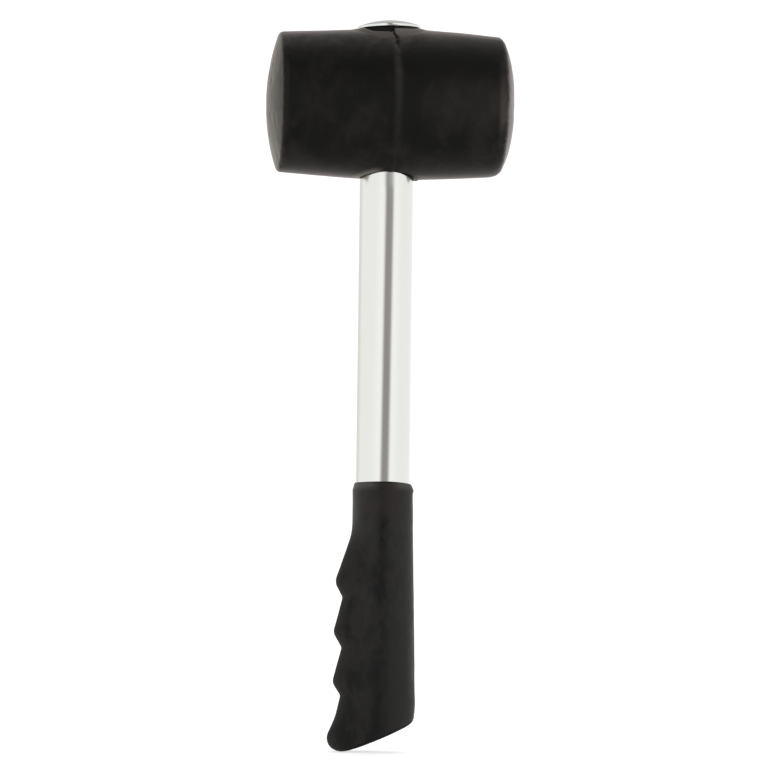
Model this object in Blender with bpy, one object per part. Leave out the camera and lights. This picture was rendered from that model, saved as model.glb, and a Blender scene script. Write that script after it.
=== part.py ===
"""Rubber mallet: a barrel-shaped rubber head on a chromed steel tube with a moulded finger grip.

The handle stands up +Z on the heel of its slanted butt, which touches z = 0.
The head's striking axis is X, and the finger grooves of the grip face -X.
"""
import math

import bmesh
import bpy

MM = 0.001

# Clearance between neighbouring pieces
GAP = 0.3 * MM

# Head: widest at the mid plane, where the mould parts, with straight drafts to both rims.
# Its mid plane lies HEAD_OFFSET_X off the handle's axis, as a hand-set bore core leaves it.
HEAD_AXIS_Z = 300.8 * MM
HEAD_MID_RADIUS = 35.3 * MM
HEAD_RIM_RADIUS = 32.45 * MM
HEAD_RIM_X = 51.75 * MM
HEAD_CROWN = 5.6 * MM
HEAD_RIM_ROUND = 1.6 * MM
HEAD_OFFSET_X = 0.8 * MM
PARTING_RIB_HALF_WIDTH = 0.7 * MM
PARTING_RIB_HEIGHT = 0.3 * MM
BOSS_RADIUS = 13.9 * MM
BOSS_ROOT_Z = HEAD_AXIS_Z + 24.0 * MM

# Handle tube, with a rolled bead inside the head and a slightly belled mouth
TUBE_RADIUS = 12.5 * MM
TUBE_WALL = 1.2 * MM
TUBE_BORE = TUBE_RADIUS - TUBE_WALL
BEAD_Z = HEAD_AXIS_Z - 18.0 * MM
BEAD_HEIGHT = 0.9 * MM
BEAD_HALF_WIDTH = 2.6 * MM
BEAD_SHOULDER = (0.7, 0.4)
MOUTH_FLARE = 0.4 * MM
MOUTH_DEPTH = 3.0 * MM

# Drive-in cap: a shallow dome with a thin rim, on a hollow ribbed stem
CAP_RADIUS = 14.7 * MM
CAP_SEAT_Z = HEAD_AXIS_Z + 35.0 * MM
CAP_RIM = 0.9 * MM
CAP_RIM_ROUND = 0.35 * MM
CAP_RIM_CHAMFER = 0.25 * MM
CAP_DOME = 3.2 * MM
CAP_WALL = 1.3 * MM
STEM_RADIUS = TUBE_BORE - GAP
STEM_LENGTH = 18.0 * MM
STEM_RIB = 0.4 * MM
STEM_RIBS = 3
STEM_RIB_START = 0.7
STEM_RIB_LENGTH = 0.6
STEM_RIB_EDGE = 0.1 * MM

# Hardwood core that keeps the tube round inside the head
CORE_BOTTOM_Z = HEAD_AXIS_Z - 41.0 * MM
CORE_CHAMFER = 1.0 * MM
CORE_TOP_Z = CAP_SEAT_Z - 2.0 * MM

# Grip: a "reach" is the distance from the tube's axis to the finger side, the palm side or a flank.
# A "round" is the fillet radius of the outline's corner at that place.
GRIP_TOP_Z = 124.9 * MM
GRIP_NECK = 13.85 * MM
GRIP_NECK_ROUND = 5.0 * MM
GRIP_LIP = 13.15 * MM
GRIP_LIP_ROUND = 0.5 * MM
GRIP_LIP_DROP = 0.55 * MM
GRIP_LIP_HEIGHT = 3.6 * MM
GRIP_BORE = TUBE_RADIUS + 1.2 * GAP
SWELL_Z = 101.3 * MM
SWELL_ROUND = 25.0 * MM
GROOVES = 3
GROOVE_PITCH = 23.2 * MM
RIDGE_TOP_Z = 78.2 * MM
RIDGE_REACH = 21.7 * MM
TOP_RIDGE_ROUND = 6.0 * MM
RIDGE_ROUND = 4.5 * MM
GROOVE_GROWTH = 0.35 * MM
VALLEY_DROP = 7.0 * MM
LAST_VALLEY_DROP = 5.9 * MM
VALLEY_REACH = 17.8 * MM
VALLEY_ROUND = 2.5 * MM
HEEL_FLARE = (20.9 * MM, 15.9 * MM)
HEEL_FLARE_ROUND = 30.0 * MM
HEEL_REACH = 27.75 * MM
HEEL_ROUND = 6.4 * MM
HEEL_BUTT_ROUND = 11.0 * MM
PALM_LOW = (15.8 * MM, 36.0 * MM)
PALM_LOW_ROUND = 60.0 * MM
PALM_HEEL = (16.3 * MM, 22.5 * MM)
PALM_HEEL_ROUND = 14.0 * MM
PALM_BUTT_REACH = 15.6 * MM
PALM_ROUND = 4.2 * MM
FLANK_SWELL = (15.0 * MM, 78.0 * MM)
FLANK_SWELL_ROUND = 40.0 * MM
FLANK_BUTT = 15.2 * MM
FLANK_ROUND = 1.6 * MM

# Butt: a flat face that rises from the finger side to the palm side
BUTT_AXIS_Z = 6.9 * MM
BUTT_SLOPE = math.tan(math.radians(23.5))
TILT_START_Z = 62.0 * MM
TILT_END_Z = 8.0 * MM

# Lower end of the tube, inside the grip
GRIP_BORE_FLOOR_Z = 20.0 * MM
PLUG_FLANGE = 1.5 * MM
PLUG_LENGTH = 14.0 * MM
PLUG_WALL = 1.5 * MM
TUBE_BOTTOM_Z = GRIP_BORE_FLOOR_Z + PLUG_FLANGE + 2 * GAP

# Facets around each turned piece and around the grip
HEAD_FACETS = 64
TUBE_FACETS = 40
INNER_FACETS = 24
GRIP_FACETS = 36
ARC_STEP = math.radians(17)
STATION_STEP = 6.0 * MM


def clear_scene():
    """Remove every object of the open scene."""
    for old in list(bpy.data.objects):
        bpy.data.objects.remove(old, do_unlink=True)


def material(name, colour, roughness, metallic=0.0):
    """One Principled material."""
    result = bpy.data.materials.new(name)
    result.use_nodes = True
    shader = result.node_tree.nodes["Principled BSDF"]
    shader.inputs["Base Color"].default_value = (*colour, 1.0)
    shader.inputs["Roughness"].default_value = roughness
    shader.inputs["Metallic"].default_value = metallic
    return result


def add_object(name, bm, finish=None, smooth_angle=30):
    """Turn a bmesh into an object with outward faces, shaded smooth up to smooth_angle degrees."""
    bmesh.ops.recalc_face_normals(bm, faces=bm.faces)
    mesh = bpy.data.meshes.new(name)
    bm.to_mesh(mesh)
    bm.free()
    mesh.shade_smooth()
    mesh.set_sharp_from_angle(angle=math.radians(smooth_angle))
    if finish:
        mesh.materials.append(finish)
    obj = bpy.data.objects.new(name, mesh)
    bpy.context.collection.objects.link(obj)
    return obj


def rounded(corners):
    """Points of an outline whose corners (a, b, radius) are rounded with arcs."""
    points = []
    last = len(corners) - 1
    for i, (a, b, radius) in enumerate(corners):
        if i in (0, last) or radius == 0.0:
            points.append((a, b))
            continue
        before = unit(corners[i - 1][0] - a, corners[i - 1][1] - b)
        after = unit(corners[i + 1][0] - a, corners[i + 1][1] - b)
        half = math.acos(before[0] * after[0] + before[1] * after[1]) / 2
        reach = radius / math.tan(half)
        middle = unit(before[0] + after[0], before[1] + after[1])
        centre = (a + middle[0] * radius / math.sin(half), b + middle[1] * radius / math.sin(half))
        start = math.atan2(b + before[1] * reach - centre[1], a + before[0] * reach - centre[0])
        end = math.atan2(b + after[1] * reach - centre[1], a + after[0] * reach - centre[0])
        sweep = math.remainder(end - start, math.tau)
        steps = max(2, math.ceil(abs(sweep) / ARC_STEP))
        for k in range(steps + 1):
            angle = start + sweep * k / steps
            points.append((centre[0] + radius * math.cos(angle), centre[1] + radius * math.sin(angle)))
    return points


def unit(a, b):
    """The direction (a, b) at length 1."""
    length = math.hypot(a, b)
    return a / length, b / length


def turned(profile, facets, closed=False, around="Z"):
    """Spin a profile of (radius, height) points round Z, or round X with the height along X."""
    bm = bmesh.new()
    if around == "Z":
        verts = [bm.verts.new((radius, 0.0, height)) for radius, height in profile]
        axis = (0.0, 0.0, 1.0)
    else:
        verts = [bm.verts.new((height, 0.0, radius)) for radius, height in profile]
        axis = (1.0, 0.0, 0.0)
    edges = [bm.edges.new(pair) for pair in zip(verts, verts[1:])]
    if closed:
        edges.append(bm.edges.new((verts[-1], verts[0])))
    bmesh.ops.spin(
        bm, geom=verts + edges, cent=(0.0, 0.0, 0.0), axis=axis,
        angle=math.tau, steps=facets, use_merge=True, use_duplicate=False,
    )
    bmesh.ops.remove_doubles(bm, verts=bm.verts, dist=1e-6)
    return bm


def arc(centre, radius, start, end, steps):
    """Points on a circle from angle start to angle end, both included, in degrees."""
    angles = [math.radians(start + (end - start) * k / steps) for k in range(steps + 1)]
    return [(centre[0] + radius * math.cos(a), centre[1] + radius * math.sin(a)) for a in angles]


def combine(target, tool, operation):
    """Add the wire-only object tool to target (UNION) or take it away (DIFFERENCE)."""
    tool.hide_render = True
    tool.display_type = "WIRE"
    modifier = target.modifiers.new(operation.lower(), "BOOLEAN")
    modifier.operation = operation
    modifier.solver = "EXACT"
    modifier.object = tool


# Head ---------------------------------------------------------------------------------------------

def head_half_profile():
    """(radius, x) points of one half of the head, from the middle of its face to the parting rib."""
    sphere = (HEAD_RIM_RADIUS ** 2 + HEAD_CROWN ** 2) / (2 * HEAD_CROWN)
    rim_angle = math.degrees(math.asin(HEAD_RIM_RADIUS / sphere))
    centre_x = HEAD_RIM_X + HEAD_CROWN - sphere
    crown = arc((0.0, centre_x), sphere, 90, 90 - rim_angle, 6)
    crown[0] = (0.0, HEAD_RIM_X + HEAD_CROWN)
    rim = rounded([
        (*crown[-2], 0.0),
        (*crown[-1], HEAD_RIM_ROUND),
        (HEAD_MID_RADIUS, PARTING_RIB_HALF_WIDTH, 0.0),
    ])
    return crown[:-2] + rim


def rubber_head(finish):
    """Solid moulded barrel with crowned faces, a parting rib and a bore for the handle tube."""
    half = head_half_profile()
    crest = [(HEAD_MID_RADIUS + PARTING_RIB_HEIGHT, 0.0)]
    other = [(radius, -x) for radius, x in reversed(half)]
    head = add_object("rubber_head", turned(half + crest + other, HEAD_FACETS, around="X"), finish)
    head.location = (HEAD_OFFSET_X, 0.0, HEAD_AXIS_Z)
    combine(head, cap_boss(), "UNION")
    combine(head, head_bore_cutter(), "DIFFERENCE")
    return head


def cap_boss():
    """Round boss that carries the cap level over the curve of the barrel."""
    top = CAP_SEAT_Z - GAP
    profile = [(0.0, BOSS_ROOT_Z), (BOSS_RADIUS, BOSS_ROOT_Z), (BOSS_RADIUS, top), (0.0, top)]
    return add_object("cap_boss", turned(profile, TUBE_FACETS))


def head_bore_cutter():
    """Through bore with a groove for the tube's bead, a belled top and a flat seat for the cap."""
    bore = TUBE_RADIUS + GAP
    groove_half_width = BEAD_HALF_WIDTH + GAP
    bell = bore + MOUTH_FLARE
    seat_z = CAP_SEAT_Z - GAP
    past_head = 1.3 * HEAD_MID_RADIUS
    profile = [
        (0.0, HEAD_AXIS_Z + past_head),
        (CAP_RADIUS + GAP, HEAD_AXIS_Z + past_head),
        (CAP_RADIUS + GAP, seat_z),
        (bell, seat_z),
        (bell, seat_z - MOUTH_DEPTH),
        (bore, seat_z - 2 * MOUTH_DEPTH),
        (bore, BEAD_Z + groove_half_width),
        (bore + BEAD_HEIGHT, BEAD_Z),
        (bore, BEAD_Z - groove_half_width),
        (bore, HEAD_AXIS_Z - past_head),
        (0.0, HEAD_AXIS_Z - past_head),
    ]
    return add_object("head_bore_cutter", turned(profile, TUBE_FACETS))


# Handle tube --------------------------------------------------------------------------------------

def tube_wall_line(radius):
    """(radius, z) points of the tube's wall surface, bottom to top, offset to the given radius."""
    top = CAP_SEAT_Z - GAP
    shoulder = radius + BEAD_SHOULDER[0] * BEAD_HEIGHT
    shoulder_z = BEAD_SHOULDER[1] * BEAD_HALF_WIDTH
    return [
        (radius, TUBE_BOTTOM_Z),
        (radius, GRIP_TOP_Z),
        (radius, BEAD_Z - BEAD_HALF_WIDTH),
        (shoulder, BEAD_Z - shoulder_z),
        (radius + BEAD_HEIGHT, BEAD_Z),
        (shoulder, BEAD_Z + shoulder_z),
        (radius, BEAD_Z + BEAD_HALF_WIDTH),
        (radius, top - MOUTH_DEPTH),
        (radius + MOUTH_FLARE, top),
    ]


def handle_tube(finish):
    """Thin steel tube from the floor of the grip's bore to the underside of the cap."""
    outside = tube_wall_line(TUBE_RADIUS)
    inside = tube_wall_line(TUBE_BORE)
    profile = outside + inside[::-1]
    return add_object("handle_tube", turned(profile, TUBE_FACETS, closed=True), finish)


# Cap ----------------------------------------------------------------------------------------------

def cap_dome(radius, rise, base_z, steps):
    """(radius, z) points of a shallow dome, from its edge to its apex."""
    sphere = (radius ** 2 + rise ** 2) / (2 * rise)
    edge = math.degrees(math.asin(radius / sphere))
    points = arc((0.0, base_z + rise - sphere), sphere, 90 - edge, 90, steps)
    points[-1] = (0.0, base_z + rise)
    return points


def stem_ribs():
    """(radius, z) points of the stem's saw-tooth ribs, top to bottom."""
    points = []
    rib_pitch = STEM_LENGTH / (STEM_RIBS + 1)
    for i in range(STEM_RIBS):
        top = CAP_SEAT_Z - rib_pitch * (i + STEM_RIB_START)
        points.append((STEM_RADIUS - STEM_RIB, top))
        points.append((STEM_RADIUS, top - STEM_RIB_EDGE))
        points.append((STEM_RADIUS - STEM_RIB, top - STEM_RIB_LENGTH * rib_pitch))
    return points


def top_cap(finish):
    """Pressed steel cap: domed top, thin rim over the head's bore, hollow stem driven into the tube."""
    stem_bottom = CAP_SEAT_Z - STEM_LENGTH
    hollow = STEM_RADIUS - STEM_RIB - CAP_WALL
    dome_base = CAP_SEAT_Z + CAP_RIM
    outside = cap_dome(CAP_RADIUS - CAP_RIM_ROUND, CAP_DOME, dome_base, 7)[::-1]
    rim = [
        (CAP_RADIUS, dome_base - CAP_RIM_ROUND),
        (CAP_RADIUS, CAP_SEAT_Z + CAP_RIM_CHAMFER),
        (CAP_RADIUS - CAP_RIM_CHAMFER, CAP_SEAT_Z),
    ]
    stem = [(STEM_RADIUS - STEM_RIB, CAP_SEAT_Z)] + stem_ribs() + [
        (STEM_RADIUS - STEM_RIB, stem_bottom + CAP_WALL),
        (STEM_RADIUS - 2 * STEM_RIB, stem_bottom),
    ]
    inside = [(hollow, stem_bottom)] + cap_dome(hollow, CAP_DOME / 3, dome_base, 3)
    profile = outside + rim + stem + inside
    return add_object("top_cap", turned(profile, TUBE_FACETS), finish)


# Core and end plug --------------------------------------------------------------------------------

def core_dowel(finish):
    """Hardwood dowel inside the tube at the head, with a spigot that backs the cap's hollow stem."""
    radius = TUBE_BORE - GAP
    spigot = STEM_RADIUS - STEM_RIB - CAP_WALL - GAP
    shoulder = CAP_SEAT_Z - STEM_LENGTH - GAP
    profile = [
        (0.0, CORE_TOP_Z),
        (spigot - CORE_CHAMFER, CORE_TOP_Z),
        (spigot, CORE_TOP_Z - CORE_CHAMFER),
        (spigot, shoulder),
        (radius, shoulder),
        (radius, CORE_BOTTOM_Z + CORE_CHAMFER),
        (radius - CORE_CHAMFER, CORE_BOTTOM_Z),
        (0.0, CORE_BOTTOM_Z),
    ]
    return add_object("core_dowel", turned(profile, INNER_FACETS), finish)


def tube_end_plug(finish):
    """Flanged plastic cup in the tube's lower end, so that the cut edge can't bite into the grip."""
    bottom = GRIP_BORE_FLOOR_Z + GAP
    shoulder = bottom + PLUG_FLANGE
    stem = TUBE_BORE - GAP
    top = shoulder + PLUG_LENGTH
    profile = [
        (0.0, shoulder),
        (stem - PLUG_WALL, shoulder),
        (stem - PLUG_WALL, top),
        (stem - 0.5 * PLUG_WALL, top),
        (stem, top - PLUG_WALL),
        (stem, shoulder),
        (TUBE_RADIUS, shoulder),
        (TUBE_RADIUS, bottom),
        (0.0, bottom),
    ]
    return add_object("tube_end_plug", turned(profile, INNER_FACETS), finish)


# Grip ---------------------------------------------------------------------------------------------

def grip_neck_corners():
    """Corners of the rounded lip at the grip's top, shared by all its outlines."""
    return [
        (GRIP_BORE, GRIP_TOP_Z, 0.0),
        (GRIP_LIP, GRIP_TOP_Z - GRIP_LIP_DROP, GRIP_LIP_ROUND),
        (GRIP_NECK, GRIP_TOP_Z - GRIP_LIP_HEIGHT, GRIP_NECK_ROUND),
    ]


def finger_outline():
    """(reach, z) of the finger side, from the lip over the ridges to the heel and the butt face."""
    corners = grip_neck_corners() + [(GRIP_NECK, SWELL_Z, SWELL_ROUND)]
    for i in range(GROOVES):
        ridge_z = RIDGE_TOP_Z - i * GROOVE_PITCH
        ridge_round = TOP_RIDGE_ROUND if i == 0 else RIDGE_ROUND
        drop = LAST_VALLEY_DROP if i == GROOVES - 1 else VALLEY_DROP
        growth = i * GROOVE_GROWTH
        corners.append((RIDGE_REACH + growth, ridge_z, ridge_round))
        corners.append((VALLEY_REACH + growth, ridge_z - drop, VALLEY_ROUND))
    corners.append((*HEEL_FLARE, HEEL_FLARE_ROUND))
    corners.append((HEEL_REACH, 0.0, HEEL_ROUND))
    corners.append((BUTT_AXIS_Z / BUTT_SLOPE, 0.0, HEEL_BUTT_ROUND))
    corners.append((0.0, BUTT_AXIS_Z, 0.0))
    return rounded(corners)[:-1]


def palm_outline():
    """(reach, z) of the palm side, which drifts outwards and turns in again above the butt."""
    butt_corner_z = BUTT_AXIS_Z + BUTT_SLOPE * PALM_BUTT_REACH
    return rounded(grip_neck_corners() + [
        (*PALM_LOW, PALM_LOW_ROUND),
        (*PALM_HEEL, PALM_HEEL_ROUND),
        (PALM_BUTT_REACH, butt_corner_z, PALM_ROUND),
        (0.0, BUTT_AXIS_Z, 0.0),
    ])


def flank_outline():
    """(reach, z) of both flanks, measured at the tube's axis."""
    return rounded(grip_neck_corners() + [
        (GRIP_NECK, SWELL_Z, FLANK_SWELL_ROUND),
        (*FLANK_SWELL, FLANK_SWELL_ROUND),
        (FLANK_BUTT, BUTT_AXIS_Z, FLANK_ROUND),
        (0.0, BUTT_AXIS_Z, 0.0),
    ])


def reach_at(outline, level, slope):
    """Walk down an outline to where it meets the line z = level + slope * reach."""
    previous = None
    for reach, z in outline:
        above = z - level - slope * reach
        if above <= 1e-7:
            if previous is None:
                return reach
            share = previous[1] / (previous[1] - above)
            return previous[0] + share * (reach - previous[0])
        previous = (reach, above)
    return previous[0]


def with_stations(outline):
    """The outline with its long straight stretches divided into steps of at most STATION_STEP."""
    points = [outline[0]]
    for a, b in zip(outline, outline[1:]):
        steps = math.ceil(math.dist(a, b) / STATION_STEP)
        points += [
            (a[0] + (b[0] - a[0]) * k / steps, a[1] + (b[1] - a[1]) * k / steps)
            for k in range(1, steps + 1)
        ]
    return points


def grip_rings():
    """Rings of points round the grip, top to butt. Lower rings tilt until they match the butt face."""
    palm = palm_outline()
    flank = flank_outline()
    rings = []
    for finger, finger_z in with_stations(finger_outline()):
        tilt = (TILT_START_Z - finger_z) / (TILT_START_Z - TILT_END_Z)
        slope = BUTT_SLOPE * min(max(tilt, 0.0), 1.0)
        level = finger_z + finger * slope
        back = reach_at(palm, level, slope)
        side = reach_at(flank, level, 0.0)
        rings.append([
            grip_point(math.tau * j / GRIP_FACETS, finger, back, side, level, slope)
            for j in range(GRIP_FACETS)
        ])
    return rings


def grip_point(angle, finger, back, side, level, slope):
    """A point on the egg-shaped section that reaches back to +X, finger to -X and side to Y."""
    along = math.cos(angle)
    x = along * (back if along > 0 else finger)
    return x, side * math.sin(angle), level + slope * x


def circle(radius, z, facets):
    """Points of a level circle round the tube's axis."""
    angles = [math.tau * j / facets for j in range(facets)]
    return [(radius * math.cos(a), radius * math.sin(a), z) for a in angles]


def skin(rings):
    """A closed solid through rings of equal length, with a flat face on the first and the last."""
    bm = bmesh.new()
    loops = [[bm.verts.new(point) for point in ring] for ring in rings]
    for upper, lower in zip(loops, loops[1:]):
        for j, vert in enumerate(upper):
            bm.faces.new((vert, lower[j], lower[j - 1], upper[j - 1]))
    bm.faces.new(loops[0])
    bm.faces.new(loops[-1])
    return bm


def grip_sleeve(finish):
    """Moulded rubber grip, blind at the butt, with a bore that the tube and its plug sit in."""
    floor = circle(GRIP_BORE, GRIP_BORE_FLOOR_Z, GRIP_FACETS)
    return add_object("grip_sleeve", skin([floor] + grip_rings()), finish, smooth_angle=50)


def build():
    """Model every piece of the mallet."""
    clear_scene()
    head_rubber = material("head_rubber", (0.013, 0.012, 0.011), 0.55)
    grip_rubber = material("grip_rubber", (0.024, 0.023, 0.022), 0.62)
    chrome = material("chrome", (0.82, 0.83, 0.82), 0.08, 1.0)
    hardwood = material("hardwood", (0.52, 0.36, 0.20), 0.65)
    plug_plastic = material("plug_plastic", (0.03, 0.03, 0.03), 0.5)
    rubber_head(head_rubber)
    handle_tube(chrome)
    top_cap(chrome)
    core_dowel(hardwood)
    grip_sleeve(grip_rubber)
    tube_end_plug(plug_plastic)


build()
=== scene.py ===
"""Looks of the rubber mallet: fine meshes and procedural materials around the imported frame.

Everything is in metres in the row frame: the tube's axis is Z, the head's striking axis is X,
the finger grooves of the grip face -X, and the heel of the grip stands on z = 0.
"""
import math
from types import SimpleNamespace

import bmesh
import bpy
import numpy as np
from mathutils import Matrix, Vector


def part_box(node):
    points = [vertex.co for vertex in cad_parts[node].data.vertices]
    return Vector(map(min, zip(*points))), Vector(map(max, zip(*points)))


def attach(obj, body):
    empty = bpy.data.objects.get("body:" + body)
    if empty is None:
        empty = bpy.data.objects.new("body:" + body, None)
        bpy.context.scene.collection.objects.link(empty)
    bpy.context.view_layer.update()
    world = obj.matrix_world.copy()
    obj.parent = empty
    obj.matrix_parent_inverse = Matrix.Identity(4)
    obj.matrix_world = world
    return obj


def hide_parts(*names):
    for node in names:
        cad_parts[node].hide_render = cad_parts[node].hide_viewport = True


MM = 0.001

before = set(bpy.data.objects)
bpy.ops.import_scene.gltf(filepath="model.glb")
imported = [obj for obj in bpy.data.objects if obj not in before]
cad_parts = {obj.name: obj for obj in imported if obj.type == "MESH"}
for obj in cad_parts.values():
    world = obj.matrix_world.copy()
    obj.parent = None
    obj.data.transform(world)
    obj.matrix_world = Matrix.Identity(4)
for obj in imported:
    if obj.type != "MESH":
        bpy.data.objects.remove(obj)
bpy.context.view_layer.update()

# Driving sizes, taken from the frame's own boxes where it has them
HEAD_LOW, HEAD_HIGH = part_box("rubber_head")
TUBE_LOW, TUBE_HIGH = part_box("handle_tube")
CAP_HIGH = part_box("top_cap")[1]
GRIP_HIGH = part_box("grip_sleeve")[1]

HEAD_OFFSET_X = (HEAD_LOW.x + HEAD_HIGH.x) / 2
HEAD_HALF_LENGTH = (HEAD_HIGH.x - HEAD_LOW.x) / 2
HEAD_RIB = 0.3 * MM
HEAD_MID_RADIUS = (HEAD_HIGH.y - HEAD_LOW.y) / 2 - HEAD_RIB
HEAD_RIM_RADIUS = 32.45 * MM
HEAD_CROWN = 5.6 * MM
HEAD_RIM_X = HEAD_HALF_LENGTH - HEAD_CROWN
HEAD_RIM_ROUNDS = (2.1 * MM, 2.6 * MM)  # at the -X and the +X face

GAP = 0.3 * MM
TUBE_RADIUS = 12.5 * MM
TUBE_BORE = 11.3 * MM
TUBE_BOTTOM_Z = TUBE_LOW.z
CAP_SEAT_Z = TUBE_HIGH.z + GAP
HEAD_AXIS_Z = CAP_SEAT_Z - 35.0 * MM
CAP_RADIUS = CAP_HIGH.x
CAP_DOME = 3.0 * MM
BEAD_Z = HEAD_AXIS_Z - 18.0 * MM

GRIP_TOP_Z = GRIP_HIGH.z
GRIP_BORE = TUBE_RADIUS + 1.2 * GAP
GRIP_NECK = 13.85 * MM
BUTT_SLOPE = math.tan(math.radians(23.5))
BUTT_AXIS_Z = 6.9 * MM


# Small helpers ------------------------------------------------------------------------------------

def smoothstep(low, high, value):
    """0 below low, 1 above high, and a smooth rise between."""
    t = np.clip((value - low) / (high - low), 0.0, 1.0)
    return t * t * (3 - 2 * t)


def lattice_noise(points, size, seed):
    """Smooth noise from -1 to 1 at (n, 3) points, with features of about the given size."""
    scaled = points / size + 1000.0
    cell = np.floor(scaled).astype(np.int64)
    t = scaled - cell
    t = t * t * t * (t * (t * 6 - 15) + 10)
    total = np.zeros(len(points))
    for corner in range(8):
        offset = np.array([corner & 1, corner >> 1 & 1, corner >> 2 & 1])
        c = cell + offset
        mixed = c[:, 0] * 73856093 ^ c[:, 1] * 19349663 ^ c[:, 2] * 83492791 ^ seed * 2654435761
        mixed = (mixed ^ mixed >> 13) * 1274126177 & 0x7FFFFFFF
        value = (mixed ^ mixed >> 16) % 65536 / 32767.5 - 1
        weight = np.prod(np.where(offset, t, 1 - t), axis=1)
        total += value * weight
    return total


def new_object(name, mesh, finish, smooth_angle):
    """Link a mesh as an object with smooth shading up to smooth_angle degrees."""
    mesh.shade_smooth()
    mesh.set_sharp_from_angle(angle=math.radians(smooth_angle))
    if finish:
        mesh.materials.clear()
        mesh.materials.append(finish)
    obj = bpy.data.objects.new(name, mesh)
    bpy.context.scene.collection.objects.link(obj)
    return obj


def ring_mesh(name, rings, closed=False):
    """A closed mesh through (rows, columns, 3) points. Open ends are closed with a flat face."""
    rows, columns = rings.shape[:2]
    index = np.arange(rows * columns).reshape(rows, columns)
    following = np.roll(index, -1, axis=1)
    a, b = index[:-1], index[1:]
    c, d = following[1:], following[:-1]
    if closed:
        a, b = index, np.roll(index, -1, axis=0)
        c, d = np.roll(following, -1, axis=0), following
    faces = np.stack([a, b, c, d], axis=-1).reshape(-1, 4).tolist()
    if not closed:
        faces.append(index[0].tolist())
        faces.append(index[-1][::-1].tolist())
    mesh = bpy.data.meshes.new(name)
    mesh.from_pydata(rings.reshape(-1, 3).tolist(), [], faces)
    bm = bmesh.new()
    bm.from_mesh(mesh)
    bmesh.ops.recalc_face_normals(bm, faces=bm.faces)
    bm.to_mesh(mesh)
    bm.free()
    return mesh


def turned_rings(profile, facets):
    """(rows, facets, 3) points of a profile of (radius, z) pairs spun round Z."""
    angles = np.arange(facets) * math.tau / facets
    profile = np.array(profile)
    radius, height = profile[:, 0, None], profile[:, 1, None]
    x = radius * np.cos(angles)
    y = radius * np.sin(angles)
    z = np.broadcast_to(height, x.shape)
    return np.stack([x, y, z], axis=-1)


def rounded(corners, step):
    """Points of an outline whose corners (a, b, radius) are rounded with arcs of that angular step."""
    points = []
    for i, (a, b, radius) in enumerate(corners):
        if i in (0, len(corners) - 1) or radius == 0.0:
            points.append((a, b))
            continue
        before = unit(corners[i - 1][0] - a, corners[i - 1][1] - b)
        after = unit(corners[i + 1][0] - a, corners[i + 1][1] - b)
        half = math.acos(before[0] * after[0] + before[1] * after[1]) / 2
        reach = radius / math.tan(half)
        middle = unit(before[0] + after[0], before[1] + after[1])
        centre = (a + middle[0] * radius / math.sin(half), b + middle[1] * radius / math.sin(half))
        start = math.atan2(b + before[1] * reach - centre[1], a + before[0] * reach - centre[0])
        end = math.atan2(b + after[1] * reach - centre[1], a + after[0] * reach - centre[0])
        sweep = math.remainder(end - start, math.tau)
        steps = max(3, math.ceil(abs(sweep) / step))
        for k in range(steps + 1):
            angle = start + sweep * k / steps
            points.append((centre[0] + radius * math.cos(angle), centre[1] + radius * math.sin(angle)))
    return points


def unit(a, b):
    """The direction (a, b) at length 1."""
    length = math.hypot(a, b)
    return a / length, b / length


def with_stations(outline, step):
    """The outline with its straight stretches divided into steps of at most that length."""
    points = [outline[0]]
    for a, b in zip(outline, outline[1:]):
        steps = max(1, math.ceil(math.dist(a, b) / step))
        points += [
            (a[0] + (b[0] - a[0]) * k / steps, a[1] + (b[1] - a[1]) * k / steps)
            for k in range(1, steps + 1)
        ]
    return points


def finished(piece, node):
    """Hand a piece to the frame: it rides on the root body and stands for its CAD node."""
    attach(piece, "root")
    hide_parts(node)
    return piece


# Rubber head --------------------------------------------------------------------------------------

# How finely the skin is divided
HEAD_COLUMNS = 300
COLUMN_SAMPLES = 4001
FACE_STATIONS = 36
FIRST_STATION = 0.012
RIM_STATIONS = 6
RIM_ARC = math.radians(9)
SIDE_STEPS = (0.55 * MM, 1.1 * MM)
FINE_REACH = 18 * MM
LAST_STEP = 0.4 * MM
MOUTH_DENSITY = 1.6

# How the barrel and its +X face swell beyond the plain outline
BARREL_SWELL = 0.12 * MM
BARREL_BULGE = 0.9 * MM
BARREL_WAVE = 0.10 * MM
BARREL_RIPPLE = 0.035 * MM
FACE_FULLNESS = 2.0 * MM
FACE_REACH = 0.35 * MM

# The parting line: its ridge, the step between the mould halves, and the tear below the cap
MISMATCH = 0.6 * MM
RIDGE_HEIGHT = 0.34 * MM
RIDGE_WANDER = 0.35 * MM
RIDGE_SHIFT = -0.8 * MM
RIDGE_STEEP = 0.45 * MM
RIDGE_GENTLE = 2.3 * MM
TEAR_DEPTH = 0.75 * MM
TEAR_WIDTH = 0.7 * MM
TEAR_JAG = 0.55 * MM
TEAR_SLANT = (1.0 * MM, -0.5 * MM)

# Rubber round the tube and the cap
MOUTH_ROUND = 1.5 * MM
MOUTH_SPREAD = (0.5, 2.3)
MOUTH_LIP = 0.75 * MM
COLLAR_DROP = 2.5 * MM
COLLAR_STEP = 1.15 * MM
COLLAR_RISE = 2.1 * MM
COLLAR_RISE_LESS = 1.1 * MM
COLLAR_LIMIT = 1.6 * MM
COLLAR_RAGGEDNESS = 0.12 * MM
BOSS_RADIUS = 13.9 * MM
SEAT_GAP = 0.1 * MM

# Wear
LOWER_RIM_WEAR = 0.75 * MM
NICK_DEPTH = 0.28 * MM
RAGGEDNESS = 0.06 * MM
HOLLOW_DEPTH = 0.14 * MM
BRUISE_DEPTH = 0.16 * MM
FACE_GRAIN = 0.03 * MM


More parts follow.
